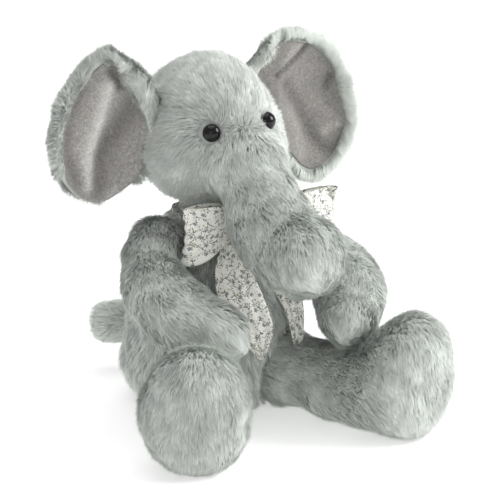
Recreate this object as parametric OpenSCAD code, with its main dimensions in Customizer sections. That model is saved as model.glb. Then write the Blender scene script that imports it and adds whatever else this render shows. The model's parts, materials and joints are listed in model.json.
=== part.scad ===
// Seated plush elephant with a fabric bow
// Millimetres. +Z is up, the face looks along -Y and the animal's left side is at +X.
// The origin is the centre of the flat seat face, on the surface the toy sits on.
// The head, trunk, ears, arms, legs and tail are separate stuffed pieces. Each starts in a
// ball or a rolled seam that sits in a matching hollow, with its centre on the hinge line.

/* [Torso] */
// Radius of the flat seat face
seat_r = 40; // [34:1:44]
// Widest radius of the belly
belly_r = 64; // [60:1:66]
// Height of the neck pivot above the seat
neck_z = 158; // [156:1:162]
// Radius of the neck dome that fills the head opening
neck_r = 26.5; // [25:0.5:27]

/* [Head] */
// Radius of the head ball
head_r = 54; // [52:1:55]
// Height of the head centre above the neck pivot
head_rise = 44.5; // [43:0.5:47]
// Diameter of one eye
eye_d = 14; // [12:0.5:15]
// Turn of each eye away from the middle of the face, in degrees
eye_turn = 26; // [24:1:29]
// Height of the left eye on the head, in degrees
eye_lift_left = 17; // [15:0.5:19]
// Height of the right eye on the head, in degrees
eye_lift_right = 12.5; // [11:0.5:15]

/* [Trunk] */
// Radius of the trunk root ball
trunk_root_r = 22; // [20:0.5:22.5]
// Radius of the trunk halfway down
trunk_mid_r = 26; // [24:0.5:26.5]
// Radius of the rounded trunk tip
trunk_tip_r = 28; // [25:0.5:28.5]

/* [Ears] */
// Width of an ear from the seam to the outer edge
ear_w = 68; // [60:1:74]
// Height of an ear
ear_h = 119; // [110:1:124]
// Thickness of the fur side of an ear
ear_back_t = 5; // [4:0.5:6]
// Thickness of the velour lining
ear_lining_t = 1.6; // [1.2:0.1:2]
// How far the rim curls forward
ear_cup = 11; // [8:0.5:13]

/* [Arms] */
// Radius of the shoulder ball
shoulder_r = 18; // [16:0.5:18.5]
// Radius of the arm at the elbow
elbow_r = 24; // [22:0.5:24.5]
// Radius of the hand
hand_r = 17; // [15:0.5:17.5]

/* [Legs] */
// Radius of the hip ball
hip_r = 28; // [26:0.5:28.5]
// Length of a leg from the hip pivot to the sole
leg_len = 128; // [122:1:134]
// Turn of the left leg away from straight ahead, in degrees
leg_turn_left = 27; // [24:1:30]
// Turn of the right leg away from straight ahead, in degrees
leg_turn_right = 24; // [20:1:26]
// Thickness of the padded sole panel
sole_t = 4; // [3:0.5:5]

/* [Tail] */
// Radius of the tail
tail_r = 13; // [11:0.5:13.5]

/* [Bow] */
// Thickness of the folded bow fabric
bow_t = 1.2; // [1:0.1:1.6]
// Radius of the knot
knot_r = 8; // [7:0.5:8.5]

/* [Fabric] */
// Thickness of the plush skin
skin_t = 2; // [1.6:0.2:2.4]
// Gap between the skin and the filling
fill_gap = 0.4; // [0.3:0.1:0.6]
// Running gap around every ball joint
joint_gap = 0.6; // [0.5:0.1:1]

/* [Output] */
// Piece to show: all, or the name of one piece

/* [Hidden] */

FUR = [0.72, 0.76, 0.75];
VELOUR = [0.55, 0.53, 0.51];
COTTON = [0.93, 0.93, 0.89];
BLACK = [0.04, 0.04, 0.04];
STUFFING = [0.95, 0.95, 0.93];
BAG = [0.80, 0.74, 0.62];

$fn = 96;

head_z = neck_z + head_rise;
fill_in = skin_t + fill_gap;

// Centres of the ball joints
trunk_c = [5, -41, head_z - 16];
shoulder_c = [49, -15, 124];
hip_c = [36, -44, 31];
tail_c = [-8, 57, 38];

// Belly outline from the seat to the foot of the neck: radius and height
belly = [
    [seat_r, 0], [belly_r - 12, 6], [belly_r - 5, 16], [belly_r - 1, 30], [belly_r, 46],
    [belly_r - 1.5, 62], [belly_r - 6, 80], [belly_r - 12.5, 97], [belly_r - 20, 113],
    [belly_r - 26.5, 125], [belly_r - 31.5, 133], [belly_r - 35, 139], [neck_r - 0.6, 144]
];

// Stations of each soft limb: x, y, z, half width, half height
trunk_path = [
    [trunk_c[0] - 1, trunk_c[1] + 18, trunk_c[2] + 16, trunk_root_r, trunk_root_r],
    [trunk_c[0], trunk_c[1], trunk_c[2], trunk_root_r, trunk_root_r],
    [8, -59, head_z - 29, trunk_mid_r - 3, trunk_mid_r - 3],
    [11, -77, head_z - 48, trunk_mid_r, trunk_mid_r],
    [13, -98, head_z - 62, trunk_mid_r, trunk_mid_r],
    [15, -118, head_z - 66, trunk_tip_r, trunk_tip_r],
    [16, -143, head_z - 62, trunk_tip_r, trunk_tip_r]
];
arm_path_left = [
    [shoulder_c[0] - 13.4, shoulder_c[1] + 7.5, shoulder_c[2] + 9.5, shoulder_r, shoulder_r],
    [shoulder_c[0], shoulder_c[1], shoulder_c[2], shoulder_r, shoulder_r],
    [66, -27, 113, 18, 18],
    [79, -49, 99, elbow_r - 0.5, elbow_r - 0.5],
    [76, -76, 88, elbow_r - 0.5, elbow_r - 0.5],
    [62, -100, 87, hand_r + 1.5, hand_r],
    [47, -117, 85.5, hand_r - 1, hand_r - 1.5]
];
arm_path_right = [
    [-shoulder_c[0] + 13.4, shoulder_c[1] + 7.5, shoulder_c[2] + 9.5, shoulder_r, shoulder_r],
    [-shoulder_c[0], shoulder_c[1], shoulder_c[2], shoulder_r, shoulder_r],
    [-64, -30, 115, 19, 19],
    [-68, -56, 102, elbow_r - 0.5, elbow_r - 0.5],
    [-58, -84, 88, elbow_r - 1, elbow_r - 1],
    [-44, -102, 81, hand_r + 1.5, hand_r + 1],
    [-30, -116, 75, hand_r, hand_r - 1]
];
tail_path = [
    [tail_c[0] + 4, tail_c[1] - 12, tail_c[2], tail_r, tail_r],
    [tail_c[0], tail_c[1], tail_c[2], tail_r, tail_r],
    [-12, 74, 38, tail_r - 2.5, tail_r - 2.5],
    [-27, 90, 37, tail_r, tail_r],
    [-46, 96, 36, tail_r, tail_r],
    [-57, 98, 36, tail_r, tail_r]
];

// Side outline of a leg: distance from the hip, height of the middle, half width, half height
leg_sections = [
    [-hip_r, 31, hip_r, hip_r],
    [0, 31, hip_r, hip_r],
    [22, 28, 21, 21],
    [44, 26.5, 24.5, 24.5],
    [66, 29, 27, 27],
    [86, 36.5, 32, 35],
    [106, 43.5, 37.5, 42],
    [120, 44.5, 37.5, 42],
    [128, 44.5, 29, 34]
];

// Point and radius on a smooth curve through the stations, at position u
function between(a, b, c, d, f) =
    0.5 * (2 * b + (c - a) * f + (2 * a - 5 * b + 4 * c - d) * f * f
        + (3 * b - a - 3 * c + d) * f * f * f);
function along(s, u) =
    let (last = len(s) - 1, x = min(max(u, 0), last), k = min(floor(x), last - 1), f = x - k)
    between(s[max(k - 1, 0)], s[k], s[k + 1], s[min(k + 2, last)], f);
function unit(v) = v / norm(v);
function place(s) = [s[0], s[1], s[2]];

// Ring of points across the curve, in a tangent frame kept level
function ring(c, t, w, h, n) =
    let (side = unit(cross(t, [0.02, 0.03, 1])), up = cross(side, t))
    [for (i = [0:n - 1]) c + side * w * cos(360 * i / n) + up * h * sin(360 * i / n)];

// Rounding of the two ends: 0 at the tip, 1 once the end ball is complete
function round_off(d, r) = d >= r ? 1 : sqrt(max(0, 1 - (1 - d / r) * (1 - d / r)));

// Soft closed body along a row of stations; inset makes the inner copies
module limb(stations, inset = 0, n = 22, m = 17) {
    last = len(stations) - 1;
    first_p = place(stations[0]);
    last_p = place(stations[last]);
    first_r = stations[0][3] - inset;
    last_r = stations[last][3] - inset;
    us = [for (k = [0:m]) last * (0.5 - 0.5 * cos(180 * k / m))];
    ps = [for (u = us) along(stations, u)];
    rings = [
        for (k = [1:m - 1])
            let (
                p = place(ps[k]),
                t = unit(place(along(stations, us[k] + 0.05)) - place(along(stations, us[k] - 0.05))),
                d0 = norm(p - first_p) - inset,
                d1 = norm(p - last_p) - inset,
                f = round_off(max(d0, 0.05), first_r) * round_off(max(d1, 0.05), last_r)
            )
            ring(p, t, (ps[k][3] - inset) * f, (ps[k][4] - inset) * f, n)
    ];
    start = first_p + unit(place(ps[1]) - first_p) * inset;
    end = last_p + unit(place(ps[m - 1]) - last_p) * inset;
    skin_body(rings, start, end);
}

// Closed surface through rings of points, with a point at each end
module skin_body(rings, start, end) {
    n = len(rings[0]);
    m = len(rings);
    points = concat([for (r = rings) each r], [start, end]);
    sides = [
        for (k = [0:m - 2], i = [0:n - 1])
            let (j = (i + 1) % n)
            each [
                [k * n + i, k * n + j, (k + 1) * n + j],
                [k * n + i, (k + 1) * n + j, (k + 1) * n + i]
            ]
    ];
    first_cap = [for (i = [0:n - 1]) [n * m, (i + 1) % n, i]];
    last_cap = [for (i = [0:n - 1]) [n * m + 1, (m - 1) * n + i, (m - 1) * n + (i + 1) % n]];
    polyhedron(points = points, faces = concat(sides, first_cap, last_cap), convexity = 6);
}

// One leg, built along -Y from the hip and turned into place
module leg_body(inset = 0, n = 24, m = 20) {
    last = len(leg_sections) - 1;
    reach = leg_len - 128;
    us = [for (k = [1:m]) last * (0.5 - 0.5 * cos(180 * k / (m + 1))) * 1.005];
    rings = [
        for (u = us)
            let (
                s = along(leg_sections, u),
                d = min(s[0], 128 - inset) + reach * max(0, s[0]) / 128,
                f = round_off(max(s[0] + hip_r - inset, 0.05), hip_r - inset)
            )
            ring([0, -d, s[1]], [0, -1, 0], (s[2] - inset) * f, (s[3] - inset) * f, n)
    ];
    skin_body(rings, [0, hip_r - inset, 31], [0, -leg_len + inset, 44.5]);
}

module place_leg(side) {
    turn = side > 0 ? leg_turn_left : -leg_turn_right;
    translate([side * hip_c[0], hip_c[1], 0])
        rotate([0, 0, turn])
            children();
}

// Ear outline as a distance from its middle in each direction, upper lobe fuller
function ear_reach(a) =
    let (hw = ear_w / 2 * (1 + 0.07 * sin(a)), hh = ear_h / 2)
    hw * hh / norm([hh * cos(a), hw * sin(a)]);

// Padded ear sheet between two distances from the cupped middle surface
module ear_sheet(front, back, edge, n = 30, m = 6) {
    mid = ear_w / 2 + 2;
    function spot(a, f, off) =
        let (r = ear_reach(a) - edge)
        [
            mid + r * f * cos(a),
            off * (1 - 0.55 * pow(f, 4)) - ear_cup * f * f * (0.65 + 0.35 * cos(a)),
            r * f * sin(a)
        ];
    fronts = [for (k = [1:m]) [for (i = [0:n - 1]) spot(360 * i / n, sqrt(k / m), front)]];
    backs = [for (k = [m:-1:1]) [for (i = [0:n - 1]) spot(360 * i / n, sqrt(k / m), back)]];
    skin_body(concat(fronts, backs), spot(0, 0, front), spot(0, 0, back));
}

// The rolled seam is tangent to the head, leaning in at the top
module place_ear(side) {
    lift = side > 0 ? 8 : 8;
    translate([side * (head_r + 0.9), 8, head_z + lift])
        rotate([0, side * -6, side * 4])
            mirror([side > 0 ? 0 : 1, 0, 0])
                children();
}

module ear_seam(r) {
    translate([0, 0, -22])
        cylinder(h = 44, r = r, $fn = 32);
}

module ear_back(side) {
    place_ear(side) {
        difference() {
            union() {
                ear_sheet(-ear_back_t / 2, ear_back_t / 2, 0);
                ear_seam(4.2);
                translate([2, -2.6, -19])
                    cube([9, 5.2, 38]);
            }
            ear_sheet(-ear_back_t * 3, -ear_back_t / 2 + ear_lining_t, 8, n = 26, m = 5);
        }
    }
}

module ear_lining(side) {
    place_ear(side)
        ear_sheet(-ear_back_t / 2 - 0.3, -ear_back_t / 2 + ear_lining_t - 0.15, 8.6, n = 26, m = 5);
}

// Eye frame: z axis points out of the head
module place_eye(side) {
    lift = side > 0 ? eye_lift_left : eye_lift_right;
    translate([0, 0, head_z])
        rotate([0, 0, side * eye_turn])
            rotate([90 - lift, 0, 0])
                children();
}

module eye(side) {
    place_eye(side) {
        intersection() {
            translate([0, 0, head_r - 2.4])
                sphere(d = eye_d, $fn = 48);
            translate([0, 0, head_r + 0.2])
                cylinder(h = eye_d, r = eye_d);
        }
        translate([0, 0, head_r - 9])
            cylinder(h = 9.4, r = 1.6, $fn = 24);
    }
}

module eye_washer(side) {
    place_eye(side)
        translate([0, 0, head_r - 7.6])
            difference() {
                cylinder(h = 1.2, r = 5.5, $fn = 32);
                translate([0, 0, -1])
                    cylinder(h = 4, r = 1.65, $fn = 24);
            }
}

// Solid of revolution of the torso, inset for the filling
module torso_body(inset) {
    low = [for (p = belly) [max(p[0] - inset, 1), max(p[1], inset)]];
    dome = [
        for (a = [-24:6:84])
            [(neck_r - inset) * cos(a), neck_z + (neck_r - inset) * sin(a)]
    ];
    rotate_extrude()
        polygon(concat([[0, inset]], low, dome, [[0, neck_z + neck_r - inset]]));
}

// Hollows in the torso for the four limbs and the tail
module torso_hollows(extra) {
    for (side = [-1, 1]) {
        translate([side * shoulder_c[0], shoulder_c[1], shoulder_c[2]])
            sphere(r = shoulder_r + extra + 0.9);
        translate([side * hip_c[0], hip_c[1], hip_c[2]])
            sphere(r = hip_r + extra);
    }
    translate(tail_c)
        sphere(r = tail_r + extra + 0.6);
}

module torso_skin() {
    color(FUR)
        difference() {
            torso_body(0);
            torso_body(skin_t);
            torso_hollows(joint_gap);
        }
}

module seat_bag_shape(grow) {
    translate([0, 6, 0])
        rotate_extrude()
            polygon([
                [0, 2.4 - grow * 3], [28 + grow, 2.4 - grow * 3], [31 + grow, 6],
                [32 + grow, 10], [30 + grow, 15], [24 + grow, 18.5 + grow], [0, 20 + grow]
            ]);
}

module torso_filling() {
    color(STUFFING)
        difference() {
            torso_body(fill_in, $fn = 48);
            torso_hollows(fill_in, $fn = 40);
            seat_bag_shape(fill_gap, $fn = 48);
        }
}

module seat_bag() {
    color(BAG)
        seat_bag_shape(0);
}

module head_hollows(extra) {
    translate(trunk_c)
        sphere(r = trunk_root_r + extra);
    translate(trunk_c + [1, -12, -7])
        sphere(r = trunk_root_r + extra + 3.4);
    translate([0, 0, neck_z])
        sphere(r = neck_r + extra);
    for (side = [-1, 1])
        place_ear(side)
            ear_seam(4.2 + extra);
}

module eye_holes(r) {
    for (side = [-1, 1])
        place_eye(side)
            translate([0, 0, head_r - 11])
                cylinder(h = 20, r = r, $fn = 24);
}

module head_skin() {
    color(FUR)
        difference() {
            translate([0, 0, head_z])
                sphere(r = head_r);
            translate([0, 0, head_z])
                sphere(r = head_r - skin_t);
            head_hollows(joint_gap);
            eye_holes(1.7);
        }
}

module head_filling() {
    color(STUFFING)
        difference() {
            translate([0, 0, head_z])
                sphere(r = head_r - fill_in);
            head_hollows(fill_in);
            eye_holes(6.2);
        }
}

module eye_left() {
    color(BLACK)
        eye(1);
}

module eye_right() {
    color(BLACK)
        eye(-1);
}

module eye_washer_left() {
    color(BLACK)
        eye_washer(1);
}

module eye_washer_right() {
    color(BLACK)
        eye_washer(-1);
}

module trunk_skin() {
    color(FUR)
        difference() {
            limb(trunk_path);
            limb(trunk_path, skin_t, 16, 13);
        }
}

module trunk_filling() {
    color(STUFFING)
        limb(trunk_path, fill_in + 0.6, 16, 13);
}

module ear_back_left() {
    color(FUR)
        ear_back(1);
}

module ear_back_right() {
    color(FUR)
        ear_back(-1);
}

module ear_lining_left() {
    color(VELOUR)
        ear_lining(1);
}

module ear_lining_right() {
    color(VELOUR)
        ear_lining(-1);
}

module arm_skin(path) {
    color(FUR)
        difference() {
            limb(path);
            limb(path, skin_t, 16, 13);
        }
}

module arm_skin_left() {
    arm_skin(arm_path_left);
}

module arm_skin_right() {
    arm_skin(arm_path_right);
}

module arm_filling_left() {
    color(STUFFING)
        limb(arm_path_left, fill_in + 0.6, 16, 13);
}

module arm_filling_right() {
    color(STUFFING)
        limb(arm_path_right, fill_in + 0.6, 16, 13);
}

module leg_skin(side) {
    color(FUR)
        place_leg(side)
            difference() {
                leg_body();
                leg_body(skin_t, 18, 14);
            }
}

module leg_skin_left() {
    leg_skin(1);
}

module leg_skin_right() {
    leg_skin(-1);
}

module leg_filling(side) {
    color(STUFFING)
        place_leg(side)
            leg_body(fill_in + 0.6, 18, 14);
}

module leg_filling_left() {
    leg_filling(1);
}

module leg_filling_right() {
    leg_filling(-1);
}

// Oval padded panel on the flat end of the foot
module sole(side) {
    rings = [
        for (s = [[0.15, 1], [sole_t * 0.55, 0.97], [sole_t * 0.85, 0.86], [sole_t, 0.62]])
            ring([0, -leg_len - s[0], 44.5], [0, -1, 0], 28 * s[1], 33 * s[1], 24)
    ];
    color(FUR)
        place_leg(side)
            skin_body(rings, [0, -leg_len - 0.15, 44.5], [0, -leg_len - sole_t - 0.3, 44.5]);
}

module sole_left() {
    sole(1);
}

module sole_right() {
    sole(-1);
}

module tail_skin() {
    color(FUR)
        difference() {
            limb(tail_path, 0, 18, 14);
            limb(tail_path, skin_t, 14, 11);
        }
}

module tail_filling() {
    color(STUFFING)
        limb(tail_path, fill_in + 0.5, 14, 11);
}

// Ribbon of even thickness swept along points; lean gives the direction of its width
module ribbon(stations, lean, closed = false) {
    last = len(stations) - 1;
    m = last * 3;
    rings = [
        for (k = [0:m])
            let (
                u = k / 3,
                s = along(stations, u),
                t = unit(place(along(stations, u + 0.08)) - place(along(stations, u - 0.08))),
                w = unit(lean - (lean * t) * t),
                h = cross(t, w)
            )
            [
                place(s) + w * s[3] / 2 + h * bow_t / 2,
                place(s) + w * s[3] / 2 - h * bow_t / 2,
                place(s) - w * s[3] / 2 - h * bow_t / 2,
                place(s) - w * s[3] / 2 + h * bow_t / 2
            ]
    ];
    skin_body(rings, (rings[0][0] + rings[0][2]) / 2, (rings[m][0] + rings[m][2]) / 2);
}

module neck_band() {
    color(COTTON)
        rotate_extrude()
            polygon([[30.8, 138.2], [32.8, 138.2], [29.6, 145.4], [27.6, 145.4]]);
}

module bow_knot() {
    color(COTTON)
        translate([14, -41, 138])
            scale([1, 0.72, 1.05])
                sphere(r = knot_r, $fn = 28);
}

module bow_loop_left() {
    color(COTTON)
        ribbon([
            [22.8, -41.5, 139, 13], [34, -45, 142, 20], [50, -46, 146, 26], [61, -39, 149, 30],
            [59, -33, 149, 29], [48, -36, 146, 25], [34, -39.4, 142, 19], [23.2, -39.8, 139, 13]
        ], [0.1, 0, 1]);
}

module bow_loop_right() {
    color(COTTON)
        ribbon([
            [5.2, -41.5, 138, 13], [-6, -46, 138, 22], [-22, -52, 138, 33], [-36, -55, 138, 40],
            [-40, -49, 138, 41], [-31, -43.5, 138, 36], [-14, -40.5, 138, 24], [4.8, -39.8, 138, 13]
        ], [0.05, 0.1, 1]);
}

module bow_tail_right() {
    color(COTTON)
        ribbon([
            [11, -46, 129.2, 12], [5, -53, 118, 24], [2, -59.5, 100, 33], [4, -64.5, 80, 34],
            [7, -66.5, 62, 22], [9, -66.5, 50, 6]
        ], [1, 0, 0.05]);
}

module bow_tail_left() {
    color(COTTON)
        ribbon([
            [17, -46, 129.2, 8], [25, -52, 116, 14], [31, -58, 98, 17], [35, -62, 78, 15],
            [38, -64, 60, 9], [39, -64, 52, 4]
        ], [0.75, 0.6, 0]);
}

torso_skin();
torso_filling();
seat_bag();
neck_band();
bow_knot();
bow_loop_left();
bow_loop_right();
bow_tail_left();
bow_tail_right();
head_skin();
head_filling();
eye_left();
eye_right();
eye_washer_left();
eye_washer_right();
trunk_skin();
trunk_filling();
ear_back_left();
ear_back_right();
ear_lining_left();
ear_lining_right();
arm_skin_left();
arm_skin_right();
arm_filling_left();
arm_filling_right();
leg_skin_left();
leg_skin_right();
leg_filling_left();
leg_filling_right();
sole_left();
sole_right();
tail_skin();
tail_filling();
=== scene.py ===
import json
import math

import bmesh
import bpy
import numpy as np
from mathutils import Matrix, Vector, bvhtree, kdtree


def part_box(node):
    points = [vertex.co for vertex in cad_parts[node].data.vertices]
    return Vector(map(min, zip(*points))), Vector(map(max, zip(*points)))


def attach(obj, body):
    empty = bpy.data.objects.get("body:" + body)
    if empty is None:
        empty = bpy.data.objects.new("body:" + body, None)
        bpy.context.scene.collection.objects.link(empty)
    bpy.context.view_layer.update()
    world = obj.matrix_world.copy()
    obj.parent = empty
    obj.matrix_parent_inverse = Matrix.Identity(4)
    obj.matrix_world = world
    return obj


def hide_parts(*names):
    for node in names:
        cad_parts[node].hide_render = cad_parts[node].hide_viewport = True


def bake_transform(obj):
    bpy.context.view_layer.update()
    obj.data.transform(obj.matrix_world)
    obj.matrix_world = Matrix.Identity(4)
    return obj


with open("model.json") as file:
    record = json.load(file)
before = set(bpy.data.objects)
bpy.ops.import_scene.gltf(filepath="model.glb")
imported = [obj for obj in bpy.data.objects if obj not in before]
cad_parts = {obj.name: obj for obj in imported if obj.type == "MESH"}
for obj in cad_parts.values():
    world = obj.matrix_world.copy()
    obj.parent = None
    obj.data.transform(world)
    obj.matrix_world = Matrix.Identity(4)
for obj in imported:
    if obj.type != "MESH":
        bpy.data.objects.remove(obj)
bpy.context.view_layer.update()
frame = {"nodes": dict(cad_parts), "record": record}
NODE = frame["nodes"]
JOINT = {j["name"]: j for j in frame["record"]["behaviour"]["joints"]}
MM = 0.001
scene = bpy.context.scene


# ---- small helpers

def unit(v):
    v = np.asarray(v, float)
    return v / np.maximum(np.linalg.norm(v, axis=-1, keepdims=True), 1e-12)


def clamp(x):
    return np.clip(x, 0, 1)


def dist(p, q):
    return np.linalg.norm(p - q, axis=-1)


def pivot(name):
    return np.array(JOINT[name]["pos_m"], float)


def middle(node):
    lo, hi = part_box(node)
    return (np.array(lo) + np.array(hi)) / 2


def inside_box(node, fx, fy, fz):
    """A point at parts fx, fy and fz of the way through a node's box."""
    lo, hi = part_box(node)
    f = np.array([fx, fy, fz])
    return np.array(lo) * (1 - f) + np.array(hi) * f


def waves(p, scale, seed, count=7):
    """Smooth noise over points, about -1 to 1, with bumps about scale metres across."""
    rng = np.random.default_rng(seed)
    out = np.zeros(len(p))
    for _ in range(count):
        k = unit(rng.normal(size=3)) * 2 * math.pi / (scale * rng.uniform(0.7, 1.7))
        warp = unit(rng.normal(size=3)) * 2 * math.pi / (scale * 2.3)
        out += np.sin(p @ k + rng.uniform(0, 6.28) + 1.2 * np.sin(p @ warp + rng.uniform(0, 6.28)))
    return out / math.sqrt(count) / 1.3


def new_object(name, me):
    ob = bpy.data.objects.new(name, me)
    scene.collection.objects.link(ob)
    return ob


def read(items, key, width=3, kind=float):
    """A property of mesh items, as an array with width columns."""
    out = np.empty(len(items) * width, dtype=kind)
    items.foreach_get(key, out)
    return out.reshape(-1, width)


def smooth(me):
    me.polygons.foreach_set("use_smooth", [True] * len(me.polygons))


def set_uv(me, name, uv):
    """A UV layer from one UV per point."""
    at = read(me.loops, "vertex_index", 1, np.int32)[:, 0]
    me.uv_layers.new(name=name).data.foreach_set("uv", uv[at].ravel())


def set_values(me, name, values):
    """An attribute with one number per point."""
    me.attributes.new(name, "FLOAT", "POINT").data.foreach_set("value", values)


def mesh_from(name, verts, faces, uv=None):
    """A smooth mesh from (n, 3) points and a list of faces, with an optional UV per point."""
    me = bpy.data.meshes.new(name)
    me.from_pydata([tuple(v) for v in verts], [], [tuple(int(i) for i in f) for f in faces])
    smooth(me)
    if uv is not None:
        set_uv(me, "cloth", uv)
    me.update()
    return new_object(name, me)


def grid(name, points, u=None, v=None, thick=0.0):
    """A sheet from a (rows, columns, 3) grid of points, with UV in metres."""
    nu, nv = points.shape[:2]
    ids = np.arange(nu * nv).reshape(nu, nv)
    faces = np.stack([ids[:-1, :-1], ids[1:, :-1], ids[1:, 1:], ids[:-1, 1:]], -1).reshape(-1, 4)
    uv = None
    if u is not None:
        uv = np.stack([np.broadcast_to(u, (nu, nv)), np.broadcast_to(v, (nu, nv))], -1).reshape(-1, 2)
    ob = mesh_from(name, points.reshape(-1, 3), faces, uv)
    if thick:
        m = ob.modifiers.new("cloth", "SOLIDIFY")
        m.thickness, m.offset = thick, 0
    return ob


def arrays(ob):
    """Points, triangles and point normals of the object as it shows."""
    dg = bpy.context.evaluated_depsgraph_get()
    ev = ob.evaluated_get(dg)
    me = ev.to_mesh()
    me.calc_loop_triangles()
    co, no = read(me.vertices, "co"), read(me.vertices, "normal")
    tri = read(me.loop_triangles, "vertices", 3, np.int32)
    ev.to_mesh_clear()
    return co, tri, no


def outer_shell(node):
    """The outer closed surface of a CAD solid that has a cavity."""
    co, tri, _ = arrays(NODE[node])
    key = np.round(co * 1e6).astype(np.int64)
    _, first, inv = np.unique(key, axis=0, return_index=True, return_inverse=True)
    inv = inv.ravel()
    co, tri = co[first], inv[tri]
    root = np.arange(len(co))
    for _ in range(400):
        low = root[tri].min(axis=1)
        new = root.copy()
        np.minimum.at(new, tri.ravel(), np.repeat(low, 3))
        new = new[new]
        if (new == root).all():
            break
        root = new
    best, size = None, -1
    for r in np.unique(root[tri[:, 0]]):
        pts = co[root == r]
        s = np.prod(pts.max(0) - pts.min(0))
        if s > size:
            best, size = r, s
    tri = tri[root[tri[:, 0]] == best]
    used, flat = np.unique(tri, return_inverse=True)
    return co[used], flat.reshape(-1, 3)


def remeshed(name, co, tri, voxel, rounds=4):
    """A smooth even mesh over a closed surface."""
    ob = mesh_from(name, co, tri)
    m = ob.modifiers.new("even", "REMESH")
    m.mode, m.voxel_size, m.use_smooth_shade = "VOXEL", voxel, True
    s = ob.modifiers.new("soften", "SMOOTH")
    s.factor, s.iterations = 0.5, rounds
    bake(ob)
    return ob


def bake(ob):
    """Applies the object's modifiers to its mesh."""
    dg = bpy.context.evaluated_depsgraph_get()
    me = bpy.data.meshes.new_from_object(ob.evaluated_get(dg))
    old = ob.data
    ob.modifiers.clear()
    ob.data = me
    me.name = ob.name
    bpy.data.meshes.remove(old)


def points_of(ob):
    return read(ob.data.vertices, "co")


def normals_of(ob):
    return read(ob.data.vertices, "normal")


def set_points(ob, co):
    ob.data.vertices.foreach_set("co", np.ascontiguousarray(co).ravel())
    ob.data.update()


def push(ob, amount):
    """Moves each point along its normal by amount(points, normals), in metres."""
    co, no = points_of(ob), normals_of(ob)
    set_points(ob, co + no * np.reshape(amount(co, no), (-1, 1)))


def bump(p, centre, radius):
    """A soft hump of 1 at centre, falling to 0 at radius."""
    d = dist(p, centre) / radius
    return np.where(d < 1, (1 - d * d) ** 2, 0)


def drag(ob, *moves):
    """Moves the points round each centre by a vector, less and less out to its radius."""
    co = points_of(ob)
    new = co
    for centre, radius, by in moves:
        new = new + bump(co, centre, radius)[:, None] * np.array(by)
    set_points(ob, new)


# ---- materials

def material(name, colour, rough, **more):
    m = bpy.data.materials.new(name)
    m.use_nodes = True
    b = m.node_tree.nodes["Principled BSDF"]
    b.inputs["Base Color"].default_value = (*colour, 1)
    b.inputs["Roughness"].default_value = rough
    for k, v in more.items():
        b.inputs[k.replace("_", " ")].default_value = v
    return m, Nodes(m.node_tree), b


class Nodes:
    """Short forms for building node trees."""

    def __init__(self, tree):
        self.t = tree

    def add(self, kind, sockets=None, **settings):
        """A new node, with a value or a link for each named or numbered socket."""
        n = self.t.nodes.new(kind)
        for k, v in settings.items():
            setattr(n, k, v)
        for k, v in (sockets or {}).items():
            self.put(n.inputs[k], v)
        return n

    def put(self, socket, value):
        if isinstance(value, bpy.types.NodeSocket):
            self.t.links.new(value, socket)
        elif isinstance(value, (tuple, list)) and len(value) == 3 and len(socket.default_value) == 4:
            socket.default_value = (*value, 1)
        else:
            socket.default_value = value

    def math(self, op, a, b):
        return self.add("ShaderNodeMath", {0: a, 1: b}, operation=op).outputs[0]

    def vec(self, op, a, b):
        return self.add("ShaderNodeVectorMath", {0: a, 1: b}, operation=op).outputs[0]

    def scaled(self, a, scale):
        return self.add("ShaderNodeVectorMath", {0: a, "Scale": scale}, operation="SCALE").outputs[0]

    def length(self, a):
        return self.add("ShaderNodeVectorMath", {0: a}, operation="LENGTH").outputs["Value"]

    def noise(self, where, scale, detail=2.0, rough=0.5, out="Fac"):
        at = {"Vector": where, "Scale": scale, "Detail": detail, "Roughness": rough}
        return self.add("ShaderNodeTexNoise", at).outputs[out]

    def ramp(self, fac, *stops):
        n = self.add("ShaderNodeValToRGB")
        while len(n.color_ramp.elements) < len(stops):
            n.color_ramp.elements.new(0.5)
        for e, (pos, col) in zip(n.color_ramp.elements, stops):
            e.position = pos
            e.color = (*col, 1) if len(col) == 3 else col
        self.put(n.inputs[0], fac)
        return n.outputs[0]

    def mix(self, fac, a, b, how="MIX"):
        n = self.add("ShaderNodeMix", {"Factor": fac, 6: a, 7: b}, data_type="RGBA", blend_type=how)
        return n.outputs[2]

    def attribute(self, name):
        return self.add("ShaderNodeAttribute", attribute_name=name).outputs["Fac"]

    def step(self, value, low, high):
        return self.add("ShaderNodeMapRange", {"Value": value, "From Min": low, "From Max": high},
                        interpolation_type="SMOOTHSTEP").outputs[0]

    def place(self):
        return self.add("ShaderNodeNewGeometry").outputs["Position"]

    def bump(self, height, strength, distance):
        at = {"Strength": strength, "Distance": distance, "Height": height}
        return self.add("ShaderNodeBump", at).outputs[0]


# The root colour is painted shade: the darkness that falls among the strands near the skin.
FUR_ROOT_SHADE = (0.460, 0.487, 0.458)
FUR_MID = (0.621, 0.654, 0.619)
FUR_TIP = (0.821, 0.854, 0.811)


def fur_material():
    m, n, b = material("plush_fur", FUR_TIP, 0.62, Sheen_Weight=0.25, Sheen_Roughness=0.5,
                       Specular_IOR_Level=0.25)
    tip, tone = n.attribute("tip"), n.attribute("tone")
    # strands run from dark roots to light tips: painted shade low in the pile
    base = n.ramp(tip, (0.0, FUR_ROOT_SHADE), (0.45, FUR_MID), (1.0, FUR_TIP))
    cloud = n.noise(n.place(), 75, 3)
    # each strand's tone holds random unevenness and the painted light and shade given to its piece
    fine = n.math("ADD", n.math("MULTIPLY", tone, 0.42), 0.79)
    soft = n.math("ADD", n.math("MULTIPLY", cloud, 0.30), 0.85)
    shade = n.math("MULTIPLY", fine, soft)
    grey = n.add("ShaderNodeCombineColor", dict.fromkeys(range(3), shade))
    n.put(b.inputs["Base Color"], n.mix(1.0, base, grey.outputs[0], "MULTIPLY"))
    return m


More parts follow.
